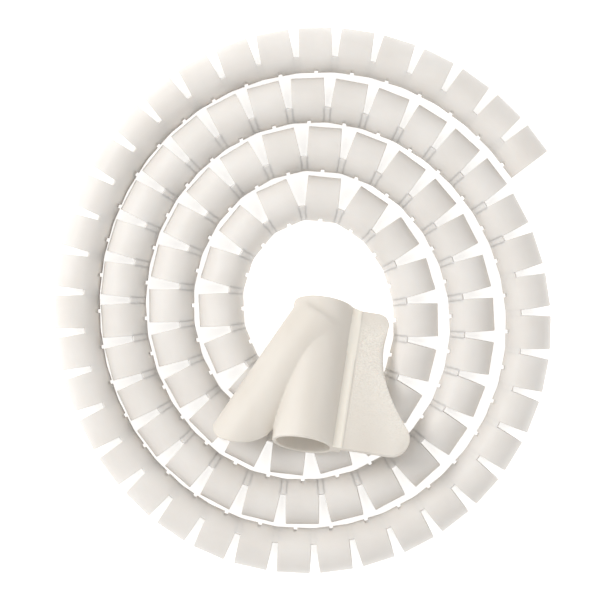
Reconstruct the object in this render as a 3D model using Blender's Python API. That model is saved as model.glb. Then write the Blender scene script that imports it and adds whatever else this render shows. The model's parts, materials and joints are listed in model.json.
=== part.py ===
"""A slotted cable sleeve wound into a flat oval coil, with its loading tool lying in the eye of the coil.

The sleeve is one soft extrusion. Slots are sawn across it from the outer side, so that each stretch
between two slots is a stiff rib and the uncut inner side is a spine that bends at every slot. The outer
stretch of the coil is modelled rib by rib, each hinged to the next, and the stored turns as sections.
World frame: the floor is z = 0, the coil lies flat around the Z axis, and the tool points along +Y.
"""

import math

import bmesh
import bpy
from mathutils import Matrix, Vector

MM = 0.001

# Sleeve section, in millimetres. U is the distance from the tube's centre line, away from the coil's eye.
SLEEVE_RADIUS = 8.1
WALL = 1.2
SLIT_WIDTH = 1.0
SLOT_END_U = -3.3
HINGE_U = -5.0
RIB_LENGTH = 11.9
PITCH = 13.41
SECTION_GAP = 0.3
FINGER_FACETS = 4
LYING_FACET_HALF_DEG = 16.1
SPINE_FACETS = 4

# Spiral of the centre line, in millimetres and degrees: its half widths shrink by one turn's spacing in
# each turn. The outer turns bulge to the right, where the coil was never pulled tight, and a little to the
# left, and the free end springs out a little.
TURN_SPACING = 17.46
HALF_WIDTH_AT_TOP = 87.1
OVAL_EXTRA = 7.2
RIGHT_BULGE = 5.6
RIGHT_BULGE_DEG = 350.0
BULGE_FADES_OVER_DEG = 720.0
LEFT_BULGE = 1.5
LEFT_BULGE_DEG = 900.0
LEFT_BULGE_HALF_SPAN_DEG = 850.0
END_SPRING = 1.5
END_SPRING_DEG = 55.0
END_SPRING_HALF_SPAN_DEG = 56.0
OUTER_END_DEG = 31.2
INNER_END_DEG = 1350.0
SPIRAL_STEP_DEG = 0.25

HINGED_RIBS = 36
SECTION_RIBS = 6

# Loading tool, in its own frame: origin in the middle of its square end, +Y along the barrel, +X to the grip
BARREL_RADIUS = 10.9
BARREL_BORE = 9.5
BARREL_LENGTH = 52.0
GUIDE_RADIUS = 10.4
GUIDE_BORE = 9.1
GUIDE_ANGLE_DEG = 25.8
GUIDE_MEETS_Y = 47.0
GUIDE_RISES_TO = 3.0
GUIDE_DROPS_TO = -6.5
TONGUE_CENTRE = (-24.0, 11.1)
TONGUE_RADIUS = 14.6
WEB_WIDTH = 2.6
WEB_HEIGHT = 7.4
GRIP_THICKNESS = 2.8
GRIP_RAISE = 1.7
GRIP_TOP_WIDTH = 10.9
GRIP_WAIST_WIDTH = 9.0
GRIP_FOOT_WIDTH = 23.8
GRIP_TOP_CORNER = 4.2
GRIP_FOOT_CORNER = 6.5
GRIP_STOPS_SHORT = 0.9
GRIP_WAIST_STEPS = 8
WEB_SINKS_IN = 1.2
CHANNEL_STARTS_IN = 2.5
GUIDE_RUNS_ON = 14.0
TOOL_FACETS = 28
TONGUE_FACETS = 12
TOOL_TILT_DEG = 18.6
TOOL_TURN_DEG = 8.8
TOOL_END = (-1.6, -46.0, 27.0)

SLEEVE_COLOUR = (0.79, 0.76, 0.73, 1.0)
TOOL_COLOUR = (0.76, 0.73, 0.69, 1.0)


def clear_scene():
    for obj in list(bpy.data.objects):
        bpy.data.objects.remove(obj, do_unlink=True)


def plastic(name, colour, roughness):
    material = bpy.data.materials.new(name)
    material.use_nodes = True
    shader = material.node_tree.nodes["Principled BSDF"]
    shader.inputs["Base Color"].default_value = colour
    shader.inputs["Roughness"].default_value = roughness
    shader.inputs["Metallic"].default_value = 0.0
    return material


# ---------------------------------------------------------------- the sleeve


def bulge(degrees):
    """How far the turns stand out from the even spiral at this angle."""
    to_right = max(0.0, math.cos(math.radians(degrees - RIGHT_BULGE_DEG))) ** 2
    fade = min(1.0, max(0.0, 1.0 - (degrees - RIGHT_BULGE_DEG) / BULGE_FADES_OVER_DEG))
    to_left = max(0.0, -math.cos(math.radians(degrees))) ** 2
    middle = max(0.0, 1.0 - ((degrees - LEFT_BULGE_DEG) / LEFT_BULGE_HALF_SPAN_DEG) ** 2)
    to_end = min(1.0, abs(degrees - END_SPRING_DEG) / END_SPRING_HALF_SPAN_DEG)
    spring = END_SPRING * math.cos(math.pi / 2 * to_end) ** 2
    return RIGHT_BULGE * to_right * fade + LEFT_BULGE * to_left * middle + spring


def spiral_point(degrees):
    half_width = HALF_WIDTH_AT_TOP - TURN_SPACING * (degrees - 90.0) / 360.0 + bulge(degrees)
    turn = math.radians(degrees)
    return Vector((half_width * math.cos(turn), (half_width + OVAL_EXTRA) * math.sin(turn)))


def outward(along):
    """The unit vector that points away from the eye, for a direction along the anticlockwise spiral."""
    return Vector((along.y, -along.x)).normalized()


def hinge_points():
    """Points one pitch apart on the line where the spine bends, from the outer end inwards."""
    points = []
    last = None
    gone = 0.0
    degrees = OUTER_END_DEG
    while degrees <= INNER_END_DEG:
        ahead = spiral_point(degrees + SPIRAL_STEP_DEG) - spiral_point(degrees - SPIRAL_STEP_DEG)
        here = spiral_point(degrees) + HINGE_U * outward(ahead)
        gone += (here - last).length if last else PITCH
        if gone >= PITCH:
            points.append(here)
            gone -= PITCH
        last = here
        degrees += SPIRAL_STEP_DEG
    return points


class Rib:
    """One rib's place: the chord between two hinge points, and how far the sleeve turns at each of them."""

    def __init__(self, start, end):
        chord = end - start
        self.half_pitch = chord.length / 2
        self.along = chord.normalized()
        self.out = outward(chord)
        self.middle = (start + end) / 2 - HINGE_U * self.out
        self.turn_before = 0.0
        self.turn_after = 0.0

    def point(self, s, u, z):
        flat = self.middle + s * self.along + u * self.out
        return Vector((flat.x, flat.y, lying_height() + z)) * MM

    def mitre(self, u, turn):
        """Half length at depth u, to the plane that this rib's spine shares with the next one's."""
        return self.half_pitch + (u - HINGE_U) * math.tan(turn / 2)

    def hinged_end(self, u, turn):
        """Half length at depth u of a spine that can straighten: nothing of it crosses the hinge line."""
        return min(self.half_pitch, self.mitre(u, turn))

    def block(self, u, turn):
        """Half length of the rib itself: square, but narrowing with the spine inside the hinge line."""
        return RIB_LENGTH / 2 * self.hinged_end(u, turn) / self.half_pitch


def ribs_of_the_coil():
    points = hinge_points()
    ribs = [Rib(a, b) for a, b in zip(points, points[1:])]
    for before, after in zip(ribs, ribs[1:]):
        before.turn_after = after.turn_before = before.along.angle(after.along)
    return ribs, points


def section_angles():
    """Angles round the tube, from the outer slit over the top to the spine and back under the bottom."""
    slit = math.asin(SLIT_WIDTH / 2 / SLEEVE_RADIUS)
    slot_end = math.acos(SLOT_END_U / SLEEVE_RADIUS)
    lying_from = math.radians(90.0 - LYING_FACET_HALF_DEG)
    lying_to = math.radians(90.0 + LYING_FACET_HALF_DEG)
    over = [slit, (slit + lying_from) / 2, lying_from, lying_to]
    spine = [slot_end + (2 * math.pi - 2 * slot_end) * k / SPINE_FACETS for k in range(SPINE_FACETS + 1)]
    return over + spine + [2 * math.pi - a for a in reversed(over)]


def lying_height():
    """Height of the centre line with the tube lying on the flat facet under it."""
    lowest = min(math.sin(angle) for angle in section_angles())
    return -SLEEVE_RADIUS * lowest


def in_spine(cell):
    return FINGER_FACETS <= cell < FINGER_FACETS + SPINE_FACETS


def stations(ribs, start, end):
    """(rib, how its half length is found, side, is the stretch after it a rib) for each cut along a run."""
    found = []
    for n, rib in enumerate(ribs):
        before = "mitre" if n else start
        if before != "cut":
            found.append((rib, before, -1, False))
        found.append((rib, "block", -1, True))
        found.append((rib, "block", 1, False))
    if end != "cut":
        found.append((ribs[-1], end, 1, False))
    return found


def ring(rib, kind, side, trim, angles):
    """Outer and inner points round the tube at one station."""
    turn = rib.turn_after if side > 0 else rib.turn_before
    half_length = {"mitre": rib.mitre, "hinge": rib.hinged_end, "block": rib.block}[kind]
    points = []
    for radius in (SLEEVE_RADIUS, SLEEVE_RADIUS - WALL):
        for angle in angles:
            u = radius * math.cos(angle)
            s = side * (half_length(u, turn) - trim)
            points.append(rib.point(s, u, radius * math.sin(angle)))
    return points


def sleeve_run(name, ribs, start, end, material):
    """One closed solid: ribs on their spine. An end is a mitre, a hinge or the sleeve's own cut."""
    angles = section_angles()
    count = len(angles)
    cuts = stations(ribs, start, end)
    mesh = bmesh.new()
    rows = []
    for n, (rib, kind, side, _) in enumerate(cuts):
        trim = SECTION_GAP / 2 if n in (0, len(cuts) - 1) and kind != "block" else 0.0
        rows.append([mesh.verts.new(p) for p in ring(rib, kind, side, trim, angles)])

    def solid(column, cell):
        if not (0 <= column < len(cuts) - 1 and 0 <= cell < count - 1):
            return False
        return cuts[column][3] or in_spine(cell)

    for column in range(len(cuts) - 1):
        for cell in range(count - 1):
            if not solid(column, cell):
                continue
            a, b = rows[column], rows[column + 1]
            near, far = cell, cell + 1
            mesh.faces.new((a[near], b[near], b[far], a[far]))
            mesh.faces.new((a[count + far], b[count + far], b[count + near], a[count + near]))
            if not solid(column, cell - 1):
                mesh.faces.new((a[near], a[count + near], b[count + near], b[near]))
            if not solid(column, cell + 1):
                mesh.faces.new((a[far], b[far], b[count + far], a[count + far]))
            if not solid(column - 1, cell):
                mesh.faces.new((a[near], a[far], a[count + far], a[count + near]))
            if not solid(column + 1, cell):
                mesh.faces.new((b[near], b[count + near], b[count + far], b[far]))
    loose = [v for v in mesh.verts if not v.link_faces]
    bmesh.ops.delete(mesh, geom=loose, context="VERTS")
    bmesh.ops.recalc_face_normals(mesh, faces=mesh.faces)
    return mesh_object(name, mesh, material)


def mesh_object(name, mesh, material):
    data = bpy.data.meshes.new(name)
    mesh.to_mesh(data)
    mesh.free()
    data.materials.append(material)
    for polygon in data.polygons:
        polygon.use_smooth = True
    data.set_sharp_from_angle(angle=math.radians(50))
    obj = bpy.data.objects.new(name, data)
    bpy.context.scene.collection.objects.link(obj)
    return obj


def move_origin(obj, origin):
    obj.data.transform(Matrix.Translation(-origin))
    obj.location = origin


def add_sleeve(material):
    """The free outer stretch rib by rib, each with its origin on its hinge, then the stored turns."""
    ribs, points = ribs_of_the_coil()
    for n in range(HINGED_RIBS):
        start = "hinge" if n else "cut"
        rib = sleeve_run(f"rib_{n + 1:02d}", ribs[n : n + 1], start, "hinge", material)
        hinge = points[n + 1]
        move_origin(rib, Vector((hinge.x, hinge.y, lying_height())) * MM)
    stored = range(HINGED_RIBS, len(ribs), SECTION_RIBS)
    for n, first in enumerate(stored):
        run = ribs[first : first + SECTION_RIBS]
        start = "mitre" if n else "hinge"
        end = "cut" if first + SECTION_RIBS >= len(ribs) else "mitre"
        sleeve_run(f"stored_turn_section_{n + 1:02d}", run, start, end, material)


# ---------------------------------------------------------------- the loading tool


def prism(name, outline, low, high):
    """A solid with the given outline in X and Y, from z = low to high."""
    mesh = bmesh.new()
    bottom = [mesh.verts.new((x * MM, y * MM, low * MM)) for x, y in outline]
    top = [mesh.verts.new((x * MM, y * MM, high * MM)) for x, y in outline]
    mesh.faces.new(bottom)
    mesh.faces.new(top)
    for n in range(len(outline)):
        m = (n + 1) % len(outline)
        mesh.faces.new((bottom[n], bottom[m], top[m], top[n]))
    bmesh.ops.recalc_face_normals(mesh, faces=mesh.faces)
    data = bpy.data.meshes.new(name)
    mesh.to_mesh(data)
    mesh.free()
    obj = bpy.data.objects.new(name, data)
    bpy.context.scene.collection.objects.link(obj)
    return obj


def rod(name, radius, start, end, half=False):
    """A round bar, or only its upper half, from start to end."""
    ahead = Vector(end) - Vector(start)
    steps = TOOL_FACETS // 2 if half else TOOL_FACETS
    sweep = math.pi if half else 2 * math.pi
    spokes = range(steps + 1) if half else range(steps)
    outline = [(radius * math.cos(sweep * k / steps), radius * math.sin(sweep * k / steps)) for k in spokes]
    bar = prism(name, outline, 0.0, ahead.length)
    ahead.normalize()
    side = Vector((0, 0, 1)).cross(ahead).normalized()
    turned = Matrix((side, ahead.cross(side), ahead)).transposed().to_4x4()
    bar.data.transform(Matrix.Translation(Vector(start) * MM) @ turned)
    return bar


def arc(centre, radius, from_deg, to_deg, steps):
    return [
        (
            centre[0] + radius * math.cos(math.radians(from_deg + (to_deg - from_deg) * k / steps)),
            centre[1] + radius * math.sin(math.radians(from_deg + (to_deg - from_deg) * k / steps)),
        )
        for k in range(steps + 1)
    ]


def grip_outline(root):
    """The finger plate: a straight root along the web, a rounded head, a waist and a wide rounded foot."""
    foot = root + GRIP_FOOT_WIDTH
    head = root + GRIP_TOP_WIDTH
    top = BARREL_LENGTH - GRIP_STOPS_SHORT
    low = GRIP_FOOT_CORNER + 4.0
    high = top - GRIP_TOP_CORNER - 1.5
    flare = GRIP_FOOT_WIDTH - GRIP_WAIST_WIDTH - 1.2
    swell = GRIP_TOP_WIDTH - GRIP_WAIST_WIDTH
    waist = []
    for k in range(1, GRIP_WAIST_STEPS):
        share = k / GRIP_WAIST_STEPS
        width = GRIP_WAIST_WIDTH + flare * (1 - share) ** 2.2 + swell * share**4
        waist.append((root + width, low + (high - low) * share))
    heel = arc((foot - GRIP_FOOT_CORNER, GRIP_FOOT_CORNER), GRIP_FOOT_CORNER, -90, 30, 7)
    brow = arc((head - GRIP_TOP_CORNER, top - GRIP_TOP_CORNER), GRIP_TOP_CORNER, 0, 90, 5)
    return [(root, 0.0), *heel, *waist, *brow, (root, top)]


def boolean(target, other, operation):
    modifier = target.modifiers.new(operation.lower(), "BOOLEAN")
    modifier.operation = operation
    modifier.solver = "EXACT"
    modifier.object = other
    other.hide_render = True
    other.display_type = "WIRE"


def add_tool(material):
    """Barrel, half-round cable guide, web and finger plate, moulded in one piece."""
    lean = math.tan(math.radians(GUIDE_ANGLE_DEG))
    drop = (GUIDE_RISES_TO - GUIDE_DROPS_TO) / GUIDE_MEETS_Y
    meets = (0.0, GUIDE_MEETS_Y, GUIDE_RISES_TO)
    beyond = (
        -lean * (GUIDE_MEETS_Y + GUIDE_RUNS_ON),
        -GUIDE_RUNS_ON,
        GUIDE_DROPS_TO - drop * GUIDE_RUNS_ON,
    )
    web_root = BARREL_RADIUS - WEB_SINKS_IN
    grip_root = BARREL_RADIUS + WEB_WIDTH

    tool = rod("loading_tool", BARREL_RADIUS, (0.0, 0.0, 0.0), (0.0, BARREL_LENGTH, 0.0))
    guide = rod("guide_outside", GUIDE_RADIUS, meets, beyond, half=True)
    web_top = BARREL_LENGTH - GRIP_STOPS_SHORT
    web_outline = [(web_root, 0), (grip_root, 0), (grip_root, web_top), (web_root, BARREL_LENGTH)]
    web = prism("web_block", web_outline, -WEB_HEIGHT / 2, WEB_HEIGHT / 2)
    plate = prism(
        "finger_plate_block",
        grip_outline(grip_root - 0.4),
        GRIP_RAISE - GRIP_THICKNESS / 2,
        GRIP_RAISE + GRIP_THICKNESS / 2,
    )
    for block in (guide, web, plate):
        boolean(tool, block, "UNION")
    left = TONGUE_CENTRE[0] - TONGUE_RADIUS
    tip = arc(TONGUE_CENTRE, TONGUE_RADIUS, 180, 360, TONGUE_FACETS)
    kept = [*tip, (BARREL_RADIUS, TONGUE_CENTRE[1]), (BARREL_RADIUS, BARREL_LENGTH), (left, BARREL_LENGTH)]
    tongue = prism("guide_tongue_plan", kept, -30, 30)
    boolean(guide, tongue, "INTERSECT")
    bore = rod("barrel_bore", BARREL_BORE, (0.0, -5.0, 0.0), (0.0, BARREL_LENGTH + 5.0, 0.0))
    channel_from = (-lean * CHANNEL_STARTS_IN, GUIDE_MEETS_Y - CHANNEL_STARTS_IN, GUIDE_RISES_TO)
    channel = rod("guide_channel", GUIDE_BORE, channel_from, beyond)
    for cutter in (bore, channel):
        boolean(tool, cutter, "DIFFERENCE")
    tool.data.materials.append(material)

    turn = Matrix.Rotation(math.radians(-TOOL_TURN_DEG), 4, "Z")
    tilt = Matrix.Rotation(math.radians(-TOOL_TILT_DEG), 4, "X")
    place = Matrix.Translation(Vector(TOOL_END) * MM) @ turn @ tilt
    for obj in (tool, guide, web, plate, tongue, bore, channel):
        obj.matrix_world = place


def coil_centre():
    """Middle of the coil's box in plan, where the part's origin goes."""
    ribs, _ = ribs_of_the_coil()
    corners = [
        rib.point(side * RIB_LENGTH / 2, SLEEVE_RADIUS * math.cos(angle), 0.0)
        for rib in ribs
        for side in (-1, 1)
        for angle in section_angles()
    ]
    xs = [p.x for p in corners]
    ys = [p.y for p in corners]
    return Vector((min(xs) + max(xs), min(ys) + max(ys), 0.0)) / 2


def centre_everything():
    shift = coil_centre()
    for obj in bpy.data.objects:
        obj.location = obj.location - shift


def main():
    clear_scene()
    bpy.context.scene.unit_settings.scale_length = 1.0
    add_sleeve(plastic("sleeve_polyethylene", SLEEVE_COLOUR, 0.42))
    add_tool(plastic("tool_polypropylene", TOOL_COLOUR, 0.5))
    centre_everything()


main()
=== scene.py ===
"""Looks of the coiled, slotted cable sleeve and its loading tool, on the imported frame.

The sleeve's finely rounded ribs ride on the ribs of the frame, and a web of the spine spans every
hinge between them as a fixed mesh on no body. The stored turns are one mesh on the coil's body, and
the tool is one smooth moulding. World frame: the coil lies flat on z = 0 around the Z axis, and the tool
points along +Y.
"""

import json
import math

import bmesh
import bpy
from mathutils import Matrix, Vector


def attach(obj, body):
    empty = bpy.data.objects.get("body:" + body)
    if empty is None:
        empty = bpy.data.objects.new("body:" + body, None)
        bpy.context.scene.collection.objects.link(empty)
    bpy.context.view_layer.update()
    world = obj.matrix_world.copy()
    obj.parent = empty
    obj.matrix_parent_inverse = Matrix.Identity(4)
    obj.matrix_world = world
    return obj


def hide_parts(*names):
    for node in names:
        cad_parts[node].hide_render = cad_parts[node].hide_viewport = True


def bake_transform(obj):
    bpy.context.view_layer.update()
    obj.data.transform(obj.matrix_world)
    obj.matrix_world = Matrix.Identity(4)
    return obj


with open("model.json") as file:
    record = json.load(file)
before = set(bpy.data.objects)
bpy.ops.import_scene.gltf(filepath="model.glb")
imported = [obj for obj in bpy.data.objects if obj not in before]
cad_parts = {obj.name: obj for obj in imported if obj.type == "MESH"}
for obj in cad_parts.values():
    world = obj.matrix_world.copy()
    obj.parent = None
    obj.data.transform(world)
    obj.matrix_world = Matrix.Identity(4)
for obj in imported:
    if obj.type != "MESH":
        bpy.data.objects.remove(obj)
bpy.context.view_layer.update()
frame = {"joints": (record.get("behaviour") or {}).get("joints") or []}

MM = 0.001

# The sleeve's section and its spiral, in millimetres and degrees, as the solid model has them
SLEEVE_RADIUS = 8.1
WALL = 1.2
SLIT_WIDTH = 1.0
SLOT_END_U = -3.3
HINGE_U = -5.0
RIB_LENGTH = 11.9
PITCH = 13.41
CAD_LYING_FACET_HALF_DEG = 16.1
TURN_SPACING = 17.46
HALF_WIDTH_AT_TOP = 87.1
OVAL_EXTRA = 7.2
RIGHT_BULGE = 5.6
RIGHT_BULGE_DEG = 350.0
BULGE_FADES_OVER_DEG = 720.0
LEFT_BULGE = 1.5
LEFT_BULGE_DEG = 900.0
LEFT_BULGE_HALF_SPAN_DEG = 850.0
END_SPRING = 1.5
END_SPRING_DEG = 55.0
END_SPRING_HALF_SPAN_DEG = 56.0
OUTER_END_DEG = 31.2
INNER_END_DEG = 1350.0
SPIRAL_STEP_DEG = 0.25
HINGED_RIBS = 36
STORED_SECTIONS = 11

# Fine detail of the sleeve, in millimetres
EDGE = 0.16
AROUND_CELLS = 46
WEB_AROUND_CELLS = 18
WEB_CELLS = 5
WEB_SINKS_IN = 0.6
WEB_INSET = 0.012
NICK_HALF_LENGTH = 0.62
NICK_FLOOR_U = -7.05
NICK_WALL = 0.05
RIB_ROW_AT = 3.4
SHARP_FROM_DEG = 38.0

# The loading tool in its own frame: origin in the middle of its square end, +Y along the barrel
BARREL_RADIUS = 10.9
BARREL_BORE = 9.5
BARREL_LENGTH = 52.0
GUIDE_RADIUS = 10.4
GUIDE_BORE = 9.1
GUIDE_ANGLE_DEG = 25.8
GUIDE_MEETS_Y = 47.0
GUIDE_RISES_TO = 3.0
GUIDE_DROPS_TO = -6.5
TONGUE_CENTRE = (-24.0, 11.1)
TONGUE_RADIUS = 14.6
TONGUE_CORNER_CENTRE = (-26.25, 2.8)
TONGUE_CORNER_RADIUS = 6.0
CHANNEL_STARTS_IN = 2.5
GUIDE_RUNS_ON = 14.0
WEB_WIDTH = 2.6
WEB_HEIGHT = 7.4
WEB_ROOT_SINKS_IN = 1.2
GRIP_THICKNESS = 2.8
GRIP_RAISE = 1.7
GRIP_TOP_WIDTH = 10.9
GRIP_WAIST_WIDTH = 9.0
GRIP_FOOT_WIDTH = 23.8
GRIP_TOP_CORNER = 4.2
GRIP_FOOT_CORNER = 6.5
GRIP_STOPS_SHORT = 0.9
TOOL_TILT_DEG = 18.6
TOOL_TURN_DEG = 8.8
TOOL_END = (-1.6, -46.0, 27.0)
TOOL_FACETS = 120
TONGUE_FACETS = 60
TOOL_VOXEL = 0.34
LEDGE_BLENDS_OVER = 7.0
LEDGE_PASSES = 220
EDGE_PASSES = 4
KEPT_OF_SKIN = 0.4
GRIP_SINKS_IN = 0.4
CUTTER_OVERRUN = 5.0
PLAN_HALF_HEIGHT = 30.0

# Where the finger plate's grain fades out, and over how far, and where the painted highlight lies: a
# paler stripe painted along the top of the web where light catches it
GRAIN_FROM_WEB = (0.5, 0.8)
GRAIN_FROM_FOOT = (5.0, 6.0)
GRAIN_FROM_HEAD = (3.0, 4.0)
HIGHLIGHT_FROM_ROOT = 0.7
HIGHLIGHT_PAST_WEB = 0.2
HIGHLIGHT_DEPTH = 0.5


# ---------------------------------------------------------------- where the sleeve lies


def bulge(degrees):
    """How far the turns stand out from the even spiral at this angle."""
    to_right = max(0.0, math.cos(math.radians(degrees - RIGHT_BULGE_DEG))) ** 2
    fade = min(1.0, max(0.0, 1.0 - (degrees - RIGHT_BULGE_DEG) / BULGE_FADES_OVER_DEG))
    to_left = max(0.0, -math.cos(math.radians(degrees))) ** 2
    middle = max(0.0, 1.0 - ((degrees - LEFT_BULGE_DEG) / LEFT_BULGE_HALF_SPAN_DEG) ** 2)
    to_end = min(1.0, abs(degrees - END_SPRING_DEG) / END_SPRING_HALF_SPAN_DEG)
    spring = END_SPRING * math.cos(math.pi / 2 * to_end) ** 2
    return RIGHT_BULGE * to_right * fade + LEFT_BULGE * to_left * middle + spring


def spiral_point(degrees):
    half_width = HALF_WIDTH_AT_TOP - TURN_SPACING * (degrees - 90.0) / 360.0 + bulge(degrees)
    turn = math.radians(degrees)
    return Vector((half_width * math.cos(turn), (half_width + OVAL_EXTRA) * math.sin(turn)))


def outward(along):
    """The unit vector that points away from the eye, for a direction along the anticlockwise spiral."""
    return Vector((along.y, -along.x)).normalized()


def hinge_points():
    """Points one pitch apart on the line where the spine bends, from the outer end inwards."""
    points = []
    last = None
    gone = 0.0
    degrees = OUTER_END_DEG
    while degrees <= INNER_END_DEG:
        ahead = spiral_point(degrees + SPIRAL_STEP_DEG) - spiral_point(degrees - SPIRAL_STEP_DEG)
        here = spiral_point(degrees) + HINGE_U * outward(ahead)
        gone += (here - last).length if last else PITCH
        if gone >= PITCH:
            points.append(here)
            gone -= PITCH
        last = here
        degrees += SPIRAL_STEP_DEG
    return points


SLIT_ANGLE = math.asin(SLIT_WIDTH / 2 / SLEEVE_RADIUS)
SLOT_END_ANGLE = math.acos(SLOT_END_U / SLEEVE_RADIUS)
# The solid tube lies on the flat facet under it, which sets the height of its centre line.
LYING_HEIGHT = SLEEVE_RADIUS * math.cos(math.radians(CAD_LYING_FACET_HALF_DEG))

POINTS = hinge_points()
LAST_HINGE = next(j for j in frame["joints"] if j["name"] == f"slot_hinge_{HINGED_RIBS:02d}")
SHIFT = Vector(LAST_HINGE["pos_m"][:2]) - POINTS[HINGED_RIBS] * MM


class Rib:
    """One rib's place: the chord between two hinge points, and how far the sleeve turns at each."""

    def __init__(self, number, start, end):
        chord = end - start
        self.number = number
        self.half_pitch = chord.length / 2
        self.along = chord.normalized()
        self.out = outward(chord)
        self.middle = (start + end) / 2 - HINGE_U * self.out
        self.turn = {-1: 0.0, 1: 0.0}

    def point(self, s, u, z):
        flat = (self.middle + s * self.along + u * self.out) * MM + SHIFT
        return Vector((flat.x, flat.y, max(0.0, LYING_HEIGHT + z) * MM))

    def half_length(self, u, side):
        """Half length of the rib at depth u: square, but narrowing with the spine inside the hinge."""
        mitre = self.half_pitch + (u - HINGE_U) * math.tan(self.turn[side] / 2)
        return RIB_LENGTH / 2 * min(self.half_pitch, mitre) / self.half_pitch


def ribs_of_the_coil():
    ribs = [Rib(n, a, b) for n, (a, b) in enumerate(zip(POINTS, POINTS[1:]))]
    for before, after in zip(ribs, ribs[1:]):
        before.turn[1] = after.turn[-1] = before.along.angle(after.along)
    return ribs


# ---------------------------------------------------------------- the sleeve's wall

RADII = (SLEEVE_RADIUS, SLEEVE_RADIUS - EDGE, SLEEVE_RADIUS - WALL + EDGE, SLEEVE_RADIUS - WALL)
INSETS = (EDGE, 0.0, 0.0, EDGE)


class Wall:
    """A mesh of closed pieces of the sleeve's wall, with the way along and around it on every vertex."""

    def __init__(self):
        self.mesh = bmesh.new()
        self.flow = []

    def vertex(self, where):
        point, flow = where
        self.flow.append(flow)
        return self.mesh.verts.new(point)

    def face(self, corners, material):
        self.mesh.faces.new(corners).material_index = material

    def patch(self, rows, columns, at):
        """Outer and inner skins over a grid, joined round the border by a wall with broken edges."""
        grid = [[(i, j) for j in range(columns)] for i in range(rows)]
        outer = [[self.vertex(at(i, j, 0)) for i, j in row] for row in grid]
        inner = [[self.vertex(at(i, j, 3)) for i, j in row] for row in grid]
        for i in range(rows - 1):
            for j in range(columns - 1):
                self.face((outer[i][j], outer[i + 1][j], outer[i + 1][j + 1], outer[i][j + 1]), 0)
                self.face((inner[i][j], inner[i][j + 1], inner[i + 1][j + 1], inner[i + 1][j]), 0)
        border = [(0, j) for j in range(columns)]
        border += [(i, columns - 1) for i in range(1, rows)]
        border += [(rows - 1, j) for j in reversed(range(columns - 1))]
        border += [(i, 0) for i in reversed(range(1, rows - 1))]
        loops = (
            [outer[i][j] for i, j in border],
            [self.vertex(at(i, j, 1)) for i, j in border],
            [self.vertex(at(i, j, 2)) for i, j in border],
            [inner[i][j] for i, j in border],
        )
        for layer, (upper, lower) in enumerate(zip(loops, loops[1:])):
            for n in range(len(border)):
                m = (n + 1) % len(border)
                self.face((upper[n], upper[m], lower[m], lower[n]), 1 if layer == 1 else 0)

    def to_object(self, name, materials):
        bmesh.ops.recalc_face_normals(self.mesh, faces=self.mesh.faces)
        data = bpy.data.meshes.new(name)
        self.mesh.to_mesh(data)
        self.mesh.free()
        attribute = data.attributes.new("flow", "FLOAT_VECTOR", "POINT")
        attribute.data.foreach_set("vector", [c for flow in self.flow for c in flow])
        for material in materials:
            data.materials.append(material)
        data.shade_smooth()
        data.set_sharp_from_angle(angle=math.radians(SHARP_FROM_DEG))
        obj = bpy.data.objects.new(name, data)
        bpy.context.scene.collection.objects.link(obj)
        return obj


def spread(low, high, cells):
    return [low + (high - low) * k / cells for k in range(cells + 1)]


def add_rib(wall, rib):
    """One rib, round from edge to edge of the slit, with a nick sawn into its spine half way along."""
    angles = spread(SLIT_ANGLE, 2 * math.pi - SLIT_ANGLE, AROUND_CELLS)
    nick = NICK_HALF_LENGTH
    middle = (-RIB_ROW_AT, -nick - NICK_WALL, -nick, 0.0, nick, nick + NICK_WALL, RIB_ROW_AT)
    stations = [(-1, 0.0), (-1, 2 * EDGE)] + [(0, s) for s in middle] + [(1, -2 * EDGE), (1, 0.0)]
    last_row, last_column = len(stations) - 1, len(angles) - 1

    def at(i, j, layer):
        inset = INSETS[layer]
        angle = angles[j]
        if j in (0, last_column):
            angle += (inset if j == 0 else -inset) / SLEEVE_RADIUS
        u = RADII[layer] * math.cos(angle)
        z = RADII[layer] * math.sin(angle)
        side, offset = stations[i]
        s = offset + (side * rib.half_length(u, side) if side else 0.0)
        if i in (0, last_row):
            s -= side * inset
        if layer < 2 and abs(s) < nick + NICK_WALL / 2 and u < NICK_FLOOR_U:
            u = NICK_FLOOR_U
        return rib.point(s, u, z), (rib.number * PITCH + s, SLEEVE_RADIUS * angle, u)

    wall.patch(len(stations), len(angles), at)


def add_web(wall, before, after):
    """The uncut spine between two ribs, its ends sunk into both of them."""
    angles = spread(SLOT_END_ANGLE, 2 * math.pi - SLOT_END_ANGLE, WEB_AROUND_CELLS)
    last_column = len(angles) - 1
    shares = [0.0] + spread(0.0, 1.0, WEB_CELLS) + [1.0]
    last_row = len(shares) - 1

    def at(i, j, layer):
        angle = angles[j]
        if j in (0, last_column):
            angle += (INSETS[layer] if j == 0 else -INSETS[layer]) / SLEEVE_RADIUS
        radius = RADII[layer] + (-WEB_INSET if layer < 2 else WEB_INSET)
        u = radius * math.cos(angle)
        z = radius * math.sin(angle)
        sunk = WEB_SINKS_IN if i in (0, last_row) else 2 * EDGE
        start = before.point(before.half_length(u, 1) - sunk, u, z)
        end = after.point(sunk - after.half_length(u, -1), u, z)
        share = shares[i]
        along = (before.number + 0.5) * PITCH + (share - 0.5) * (PITCH - RIB_LENGTH)
        return start.lerp(end, share), (along, SLEEVE_RADIUS * angle, u)

    wall.patch(len(shares), len(angles), at)


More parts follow.
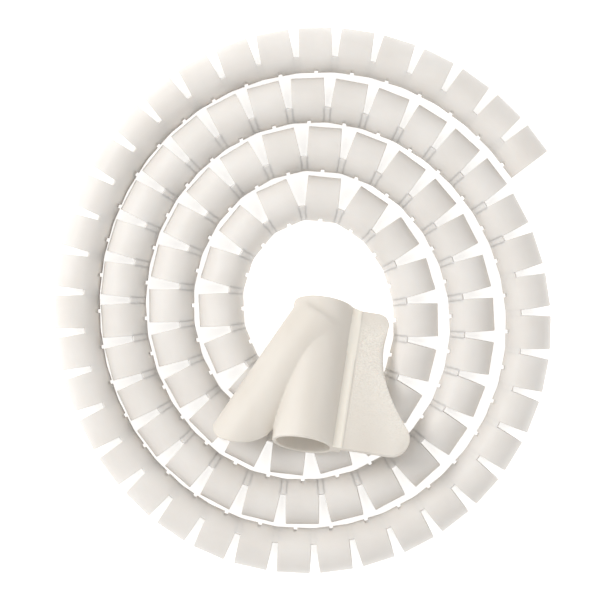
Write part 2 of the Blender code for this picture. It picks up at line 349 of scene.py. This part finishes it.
def add_sleeve(skin, cut):
    ribs = ribs_of_the_coil()
    for n in range(HINGED_RIBS):
        wall = Wall()
        add_rib(wall, ribs[n])
        node = f"rib_{n + 1:02d}"
        piece = wall.to_object(f"sleeve_{node}", (skin, cut))
        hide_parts(node)
        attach(piece, node)

        web = Wall()
        add_web(web, ribs[n], ribs[n + 1])
        spine = web.to_object(f"spine_web_{n + 1:02d}", (skin, cut))
        start = ribs[n].point(ribs[n].half_length(HINGE_U, 1), HINGE_U, 0.0)
        end = ribs[n + 1].point(-ribs[n + 1].half_length(HINGE_U, -1), HINGE_U, 0.0)
        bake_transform(spine)

    wall = Wall()
    stored = ribs[HINGED_RIBS:]
    for rib in stored:
        add_rib(wall, rib)
    for before, after in zip(stored, stored[1:]):
        add_web(wall, before, after)
    turns = wall.to_object("stored_turns", (skin, cut))
    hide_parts(*[f"stored_turn_section_{n + 1:02d}" for n in range(STORED_SECTIONS)])
    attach(turns, "coil")


# ---------------------------------------------------------------- the loading tool


def prism(name, outline, low, high):
    """A solid with the given outline in X and Y, from z = low to high."""
    mesh = bmesh.new()
    bottom = [mesh.verts.new((x * MM, y * MM, low * MM)) for x, y in outline]
    top = [mesh.verts.new((x * MM, y * MM, high * MM)) for x, y in outline]
    mesh.faces.new(bottom)
    mesh.faces.new(top)
    for n in range(len(outline)):
        m = (n + 1) % len(outline)
        mesh.faces.new((bottom[n], bottom[m], top[m], top[n]))
    bmesh.ops.recalc_face_normals(mesh, faces=mesh.faces)
    data = bpy.data.meshes.new(name)
    mesh.to_mesh(data)
    mesh.free()
    obj = bpy.data.objects.new(name, data)
    bpy.context.scene.collection.objects.link(obj)
    return obj


def rod(name, radius, start, end, half=False):
    """A round bar, or only its upper half, from start to end."""
    ahead = Vector(end) - Vector(start)
    steps = TOOL_FACETS // 2 if half else TOOL_FACETS
    sweep = math.pi if half else 2 * math.pi
    spokes = range(steps + 1 if half else steps)
    angles = [sweep * k / steps for k in spokes]
    outline = [(radius * math.cos(angle), radius * math.sin(angle)) for angle in angles]
    bar = prism(name, outline, 0.0, ahead.length)
    ahead.normalize()
    side = Vector((0, 0, 1)).cross(ahead).normalized()
    turned = Matrix((side, ahead.cross(side), ahead)).transposed().to_4x4()
    bar.data.transform(Matrix.Translation(Vector(start) * MM) @ turned)
    return bar


def arc(centre, radius, from_deg, to_deg, steps):
    angles = [math.radians(a) for a in spread(from_deg, to_deg, steps)]
    return [(centre[0] + radius * math.cos(a), centre[1] + radius * math.sin(a)) for a in angles]


def grip_outline(root):
    """The finger plate: a straight root along the web, a rounded head, a waist and a wide round foot."""
    foot = root + GRIP_FOOT_WIDTH
    head = root + GRIP_TOP_WIDTH
    top = BARREL_LENGTH - GRIP_STOPS_SHORT
    low = GRIP_FOOT_CORNER + 4.0
    high = top - GRIP_TOP_CORNER - 1.5
    flare = GRIP_FOOT_WIDTH - GRIP_WAIST_WIDTH - 1.2
    swell = GRIP_TOP_WIDTH - GRIP_WAIST_WIDTH
    waist = []
    for share in spread(0.0, 1.0, 24)[2:-1]:
        width = GRIP_WAIST_WIDTH + flare * (1 - share) ** 2.2 + swell * share**4
        waist.append((root + width, low + (high - low) * share))
    heel = arc((foot - GRIP_FOOT_CORNER, GRIP_FOOT_CORNER), GRIP_FOOT_CORNER, -90, 30, 16)
    brow = arc((head - GRIP_TOP_CORNER, top - GRIP_TOP_CORNER), GRIP_TOP_CORNER, 0, 90, 12)
    return [(root, 0.0), *heel, *waist, *brow, (root, top)]


def boolean(target, other, operation):
    modifier = target.modifiers.new(operation.lower(), "BOOLEAN")
    modifier.operation = operation
    modifier.solver = "EXACT"
    modifier.object = other


def final_mesh(obj):
    bpy.context.view_layer.update()
    evaluated = obj.evaluated_get(bpy.context.evaluated_depsgraph_get())
    return bpy.data.meshes.new_from_object(evaluated)


def fade_in(distance, start, over):
    return min(1.0, max(0.0, (distance - start) / over))


def add_tool(material):
    """Barrel, half-round cable guide, web and finger plate, as one moulding with softened edges."""
    lean = math.tan(math.radians(GUIDE_ANGLE_DEG))
    drop = (GUIDE_RISES_TO - GUIDE_DROPS_TO) / GUIDE_MEETS_Y
    meets = (0.0, GUIDE_MEETS_Y, GUIDE_RISES_TO)
    beyond = (
        -lean * (GUIDE_MEETS_Y + GUIDE_RUNS_ON),
        -GUIDE_RUNS_ON,
        GUIDE_DROPS_TO - drop * GUIDE_RUNS_ON,
    )
    web_root = BARREL_RADIUS - WEB_ROOT_SINKS_IN
    grip_root = BARREL_RADIUS + WEB_WIDTH
    web_top = BARREL_LENGTH - GRIP_STOPS_SHORT

    blank = rod("tool_blank", BARREL_RADIUS, (0.0, 0.0, 0.0), (0.0, BARREL_LENGTH, 0.0))
    guide = rod("guide_outside", GUIDE_RADIUS, meets, beyond, half=True)
    web_outline = [(web_root, 0), (grip_root, 0), (grip_root, web_top), (web_root, BARREL_LENGTH)]
    web = prism("web_block", web_outline, -WEB_HEIGHT / 2, WEB_HEIGHT / 2)
    plate = prism(
        "finger_plate_block",
        grip_outline(grip_root - GRIP_SINKS_IN),
        GRIP_RAISE - GRIP_THICKNESS / 2,
        GRIP_RAISE + GRIP_THICKNESS / 2,
    )
    left = TONGUE_CENTRE[0] - TONGUE_RADIUS
    corner = arc(TONGUE_CORNER_CENTRE, TONGUE_CORNER_RADIUS, 154, 255, TONGUE_FACETS // 2)
    tip = [*corner, *arc(TONGUE_CENTRE, TONGUE_RADIUS, 257, 360, TONGUE_FACETS)]
    right = BARREL_RADIUS
    kept = [*tip, (right, TONGUE_CENTRE[1]), (right, BARREL_LENGTH), (left, BARREL_LENGTH)]
    tongue = prism("guide_tongue_plan", kept, -PLAN_HALF_HEIGHT, PLAN_HALF_HEIGHT)
    boolean(guide, tongue, "INTERSECT")
    far = BARREL_LENGTH + CUTTER_OVERRUN
    bore = rod("barrel_bore", BARREL_BORE, (0.0, -CUTTER_OVERRUN, 0.0), (0.0, far, 0.0))
    channel_from = (-lean * CHANNEL_STARTS_IN, GUIDE_MEETS_Y - CHANNEL_STARTS_IN, GUIDE_RISES_TO)
    channel = rod("guide_channel", GUIDE_BORE, channel_from, beyond)
    helpers = (guide, web, plate, tongue, bore, channel)
    for block in (guide, web, plate):
        boolean(blank, block, "UNION")
    for cutter in (bore, channel):
        boolean(blank, cutter, "DIFFERENCE")

    remesh = blank.modifiers.new("even_skin", "REMESH")
    remesh.mode = "VOXEL"
    remesh.voxel_size = TOOL_VOXEL * MM
    rough = final_mesh(blank)
    for helper in (blank, *helpers):
        bpy.data.objects.remove(helper, do_unlink=True)
    blank = bpy.data.objects.new("tool_skin", rough)
    bpy.context.scene.collection.objects.link(blank)
    ledge = blank.vertex_groups.new(name="where the guide runs into the barrel")
    along = (Vector(beyond) - Vector(meets)).normalized()
    for vertex in rough.vertices:
        place = vertex.co / MM
        from_ledge = abs((place - Vector(meets)).dot(along)) / LEDGE_BLENDS_OVER
        from_rim = (BARREL_LENGTH - 0.8 - place.y) / 2.0
        weight = min(1.0 - from_ledge, from_rim, (place.z - 2.0) / 3.0)
        if weight > 0.0:
            ledge.add([vertex.index], min(1.0, 1.6 * weight), "REPLACE")
    blend = blank.modifiers.new("blended_ledge", "SMOOTH")
    blend.vertex_group = ledge.name
    blend.factor = 0.5
    blend.iterations = LEDGE_PASSES
    soften = blank.modifiers.new("softened_edges", "SMOOTH")
    soften.factor = 0.5
    soften.iterations = EDGE_PASSES
    thin = blank.modifiers.new("lighter", "DECIMATE")
    thin.ratio = KEPT_OF_SKIN

    data = final_mesh(blank)
    data.name = "loading_tool_moulding"
    bpy.data.objects.remove(blank, do_unlink=True)

    grain = data.attributes.new("grain", "FLOAT", "POINT")
    painted_highlight = data.attributes.new("painted_highlight", "FLOAT", "POINT")
    grained = []
    painted_highlight_values = []
    for vertex in data.vertices:
        x, y, z = vertex.co / MM
        from_web = fade_in(x - grip_root, *GRAIN_FROM_WEB)
        from_foot = fade_in(y, *GRAIN_FROM_FOOT)
        from_head = fade_in(web_top - y, *GRAIN_FROM_HEAD)
        grained.append(from_web * from_foot * from_head)
        # Painted highlight: vertices along the top of the web get a paler colour that stands in for
        # light catching it
        on_web = web_root + HIGHLIGHT_FROM_ROOT < x < grip_root + HIGHLIGHT_PAST_WEB
        painted_highlight_values.append(1.0 if on_web and z > WEB_HEIGHT / 2 - HIGHLIGHT_DEPTH else 0.0)
    grain.data.foreach_set("value", grained)
    painted_highlight.data.foreach_set("value", painted_highlight_values)

    data.materials.clear()
    data.materials.append(material)
    data.shade_smooth()
    turn = Matrix.Rotation(math.radians(-TOOL_TURN_DEG), 4, "Z")
    tilt = Matrix.Rotation(math.radians(-TOOL_TILT_DEG), 4, "X")
    end = Vector(TOOL_END) * MM + Vector((SHIFT.x, SHIFT.y, 0.0))
    data.transform(Matrix.Translation(end) @ turn @ tilt)
    tool = bpy.data.objects.new("loading_tool_moulding", data)
    bpy.context.scene.collection.objects.link(tool)
    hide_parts("loading_tool")
    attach(tool, "loading_tool")


# ---------------------------------------------------------------- materials


class Nodes:
    """A material's node tree, with short calls for what the plastics share."""

    def __init__(self, name):
        self.material = bpy.data.materials.new(name)
        self.material.use_nodes = True
        self.tree = self.material.node_tree
        self.shader = self.tree.nodes["Principled BSDF"]

    def add(self, kind, **values):
        node = self.tree.nodes.new(kind)
        for key, value in values.items():
            if key in node.inputs:
                node.inputs[key].default_value = value
            else:
                setattr(node, key, value)
        return node

    def link(self, source, target):
        self.tree.links.new(source, target)

    def noise(self, coordinates, scale, detail, stretch=(1.0, 1.0, 1.0)):
        mapping = self.add("ShaderNodeMapping")
        mapping.inputs["Scale"].default_value = stretch
        self.link(coordinates, mapping.inputs["Vector"])
        noise = self.add("ShaderNodeTexNoise", Scale=scale, Detail=detail)
        self.link(mapping.outputs["Vector"], noise.inputs["Vector"])
        return noise.outputs["Fac"]

    def ramp(self, factor, low, high, dark, light):
        ramp = self.add("ShaderNodeValToRGB")
        ramp.color_ramp.elements[0].position = low
        ramp.color_ramp.elements[0].color = (*dark, 1.0)
        ramp.color_ramp.elements[1].position = high
        ramp.color_ramp.elements[1].color = (*light, 1.0)
        self.link(factor, ramp.inputs["Fac"])
        return ramp.outputs["Color"]

    def spread_of(self, factor, low, high):
        ranged = self.add("ShaderNodeMapRange")
        ranged.inputs["To Min"].default_value = low
        ranged.inputs["To Max"].default_value = high
        self.link(factor, ranged.inputs["Value"])
        return ranged.outputs["Result"]

    def mix(self, factor, colour, other):
        mix = self.add("ShaderNodeMix", data_type="RGBA")
        self.link(factor, mix.inputs[0])
        self.link(colour, mix.inputs[6])
        mix.inputs[7].default_value = (*other, 1.0)
        return mix.outputs[2]

    def bump(self, height, distance, strength, normal=None):
        bump = self.add("ShaderNodeBump")
        bump.inputs["Distance"].default_value = distance
        bump.inputs["Strength"].default_value = strength
        self.link(height, bump.inputs["Height"])
        if normal:
            self.link(normal, bump.inputs["Normal"])
        return bump.outputs["Normal"]


def polyethylene(nodes, scatter):
    """What all the soft off-white plastic shares: a satin skin that lets a little light through."""
    inputs = nodes.shader.inputs
    inputs["IOR"].default_value = 1.5
    inputs["Specular IOR Level"].default_value = 0.32
    inputs["Subsurface Weight"].default_value = scatter
    inputs["Subsurface Radius"].default_value = (1.0, 0.86, 0.74)
    inputs["Subsurface Scale"].default_value = 0.0016


def sleeve_skin():
    """Extruded skin: faint drag lines along the sleeve, a slow mottle, and a fine satin grain."""
    nodes = Nodes("sleeve_skin")
    polyethylene(nodes, 0.3)
    flow = nodes.add("ShaderNodeAttribute", attribute_name="flow").outputs["Vector"]
    place = nodes.add("ShaderNodeTexCoord").outputs["Object"]
    mottle = nodes.noise(place, 55.0, 3.0)
    colour = nodes.ramp(mottle, 0.32, 0.70, (0.745, 0.712, 0.672), (0.800, 0.770, 0.735))
    nodes.link(colour, nodes.shader.inputs["Base Color"])
    lines = nodes.noise(flow, 1.0, 3.0, (0.035, 2.6, 0.2))
    grain = nodes.noise(place, 1900.0, 4.0)
    nodes.link(nodes.spread_of(lines, 0.40, 0.56), nodes.shader.inputs["Roughness"])
    drawn = nodes.bump(lines, 0.00012, 0.35)
    nodes.link(nodes.bump(grain, 0.00004, 0.25, drawn), nodes.shader.inputs["Normal"])
    return nodes.material


def sleeve_cut():
    """Sawn faces: paler and drier than the skin, with the fine tooth marks of the cutter."""
    nodes = Nodes("sleeve_cut_face")
    polyethylene(nodes, 0.35)
    flow = nodes.add("ShaderNodeAttribute", attribute_name="flow").outputs["Vector"]
    place = nodes.add("ShaderNodeTexCoord").outputs["Object"]
    marks = nodes.noise(flow, 1.0, 2.0, (0.4, 0.5, 7.0))
    chatter = nodes.noise(place, 1400.0, 3.0)
    colour = nodes.ramp(marks, 0.3, 0.72, (0.820, 0.790, 0.745), (0.860, 0.835, 0.795))
    nodes.link(colour, nodes.shader.inputs["Base Color"])
    nodes.link(nodes.spread_of(chatter, 0.56, 0.74), nodes.shader.inputs["Roughness"])
    sawn = nodes.bump(marks, 0.0001, 0.5)
    nodes.link(nodes.bump(chatter, 0.00005, 0.3, sawn), nodes.shader.inputs["Normal"])
    return nodes.material


def tool_plastic():
    """Moulded skin, with a coarse grain on the finger plate that fades towards its foot and its head,
    and a painted highlight: a paler cream along the top of the web.
    """
    nodes = Nodes("tool_plastic")
    polyethylene(nodes, 0.22)
    place = nodes.add("ShaderNodeTexCoord").outputs["Object"]
    flow_lines = nodes.noise(place, 60.0, 3.0, (1.0, 0.35, 1.0))
    colour = nodes.ramp(flow_lines, 0.3, 0.72, (0.700, 0.655, 0.590), (0.765, 0.725, 0.665))
    fine = nodes.noise(place, 1500.0, 4.0)
    nodes.link(nodes.spread_of(fine, 0.42, 0.58), nodes.shader.inputs["Roughness"])

    where = nodes.add("ShaderNodeAttribute", attribute_name="grain").outputs["Fac"]
    turned = nodes.add("ShaderNodeMapping")
    turned.inputs["Rotation"].default_value = (0.0, 0.0, math.radians(38))
    turned.inputs["Scale"].default_value = (0.75, 1.25, 0.75)
    nodes.link(place, turned.inputs["Vector"])
    hatch = nodes.add("ShaderNodeTexNoise", Scale=1500.0, Detail=1.0)
    nodes.link(turned.outputs["Vector"], hatch.inputs["Vector"])
    grained = nodes.add("ShaderNodeMath", operation="MULTIPLY")
    nodes.link(hatch.outputs["Fac"], grained.inputs[0])
    nodes.link(where, grained.inputs[1])
    stipple = nodes.mix(grained.outputs["Value"], colour, (0.90, 0.86, 0.79))
    painted_highlight = nodes.add("ShaderNodeAttribute", attribute_name="painted_highlight").outputs["Fac"]
    # Painted highlight: the top of the web is mixed towards a paler cream in place of light catching it
    nodes.link(nodes.mix(painted_highlight, stipple, (0.93, 0.88, 0.79)), nodes.shader.inputs["Base Color"])
    coarse = nodes.bump(grained.outputs["Value"], 0.0005, 0.8)
    nodes.link(nodes.bump(fine, 0.00004, 0.3, coarse), nodes.shader.inputs["Normal"])
    return nodes.material


# ---------------------------------------------------------------- stage, light and camera


# Metres: how far under the sleeve the floor lies, and the camera's height and field
FLOOR_DROP = 0.0004
FLOOR_SIZE = 8.0
FLOOR_GLOW = 0.6
SKY_STRENGTH = 0.68
CAMERA_HEIGHT = 0.72
VIEW_WIDTH = 0.216
VIEW_PLANE = 0.008
CAMERA_FOOT = Vector((10.0, 5.0)) * MM + SHIFT
VIEW_CENTRE = Vector((-2.86, 4.66)) * MM + SHIFT


def add_floor():
    bpy.ops.mesh.primitive_plane_add(size=FLOOR_SIZE, location=(0.0, 0.0, -FLOOR_DROP))
    floor = bpy.context.active_object
    floor.name = "studio_floor"
    nodes = Nodes("studio_floor")
    place = nodes.add("ShaderNodeTexCoord").outputs["Object"]
    paper = nodes.noise(place, 300.0, 2.0)
    colour = nodes.ramp(paper, 0.3, 0.7, (0.90, 0.90, 0.90), (0.93, 0.93, 0.93))
    nodes.link(colour, nodes.shader.inputs["Base Color"])
    nodes.shader.inputs["Roughness"].default_value = 0.9
    nodes.shader.inputs["Specular IOR Level"].default_value = 0.1
    nodes.shader.inputs["Emission Color"].default_value = (1.0, 0.995, 0.985, 1.0)
    nodes.shader.inputs["Emission Strength"].default_value = FLOOR_GLOW
    floor.data.materials.append(nodes.material)


def add_light(name, place, aim, size, power, colour):
    data = bpy.data.lights.new(name, "AREA")
    data.shape = "DISK"
    data.size = size
    data.energy = power
    data.color = colour
    light = bpy.data.objects.new(name, data)
    bpy.context.scene.collection.objects.link(light)
    light.location = place
    light.rotation_mode = "QUATERNION"
    light.rotation_quaternion = (Vector(aim) - Vector(place)).to_track_quat("-Z", "Y")


def add_studio():
    add_floor()
    add_light("key", (-0.80, 0.45, 0.80), (0.0, 0.0, 0.0), 0.6, 7.6, (1.0, 0.99, 0.98))
    add_light("fill", (0.7, -0.9, 1.1), (0.0, 0.0, 0.0), 1.2, 2.6, (1.0, 0.985, 0.965))
    world = bpy.data.worlds.new("studio")
    bpy.context.scene.world = world
    world.use_nodes = True
    background = world.node_tree.nodes["Background"]
    background.inputs["Color"].default_value = (1.0, 1.0, 1.0, 1.0)
    background.inputs["Strength"].default_value = SKY_STRENGTH


def add_camera():
    """Straight above the coil, far enough off that only the tool's height shows in the perspective."""
    data = bpy.data.cameras.new("camera")
    data.sensor_width = 36.0
    data.lens = data.sensor_width * (CAMERA_HEIGHT - VIEW_PLANE) / VIEW_WIDTH
    data.dof.use_dof = False
    data.clip_start, data.clip_end = 0.01, 20.0
    camera = bpy.data.objects.new("camera", data)
    bpy.context.scene.collection.objects.link(camera)
    camera.location = (CAMERA_FOOT.x, CAMERA_FOOT.y, CAMERA_HEIGHT)
    data.shift_x = (VIEW_CENTRE.x - CAMERA_FOOT.x) / VIEW_WIDTH
    data.shift_y = (VIEW_CENTRE.y - CAMERA_FOOT.y) / VIEW_WIDTH
    bpy.context.scene.camera = camera
    bpy.context.scene.view_settings.view_transform = "Standard"


add_camera()
add_studio()
add_sleeve(sleeve_skin(), sleeve_cut())
add_tool(tool_plastic())
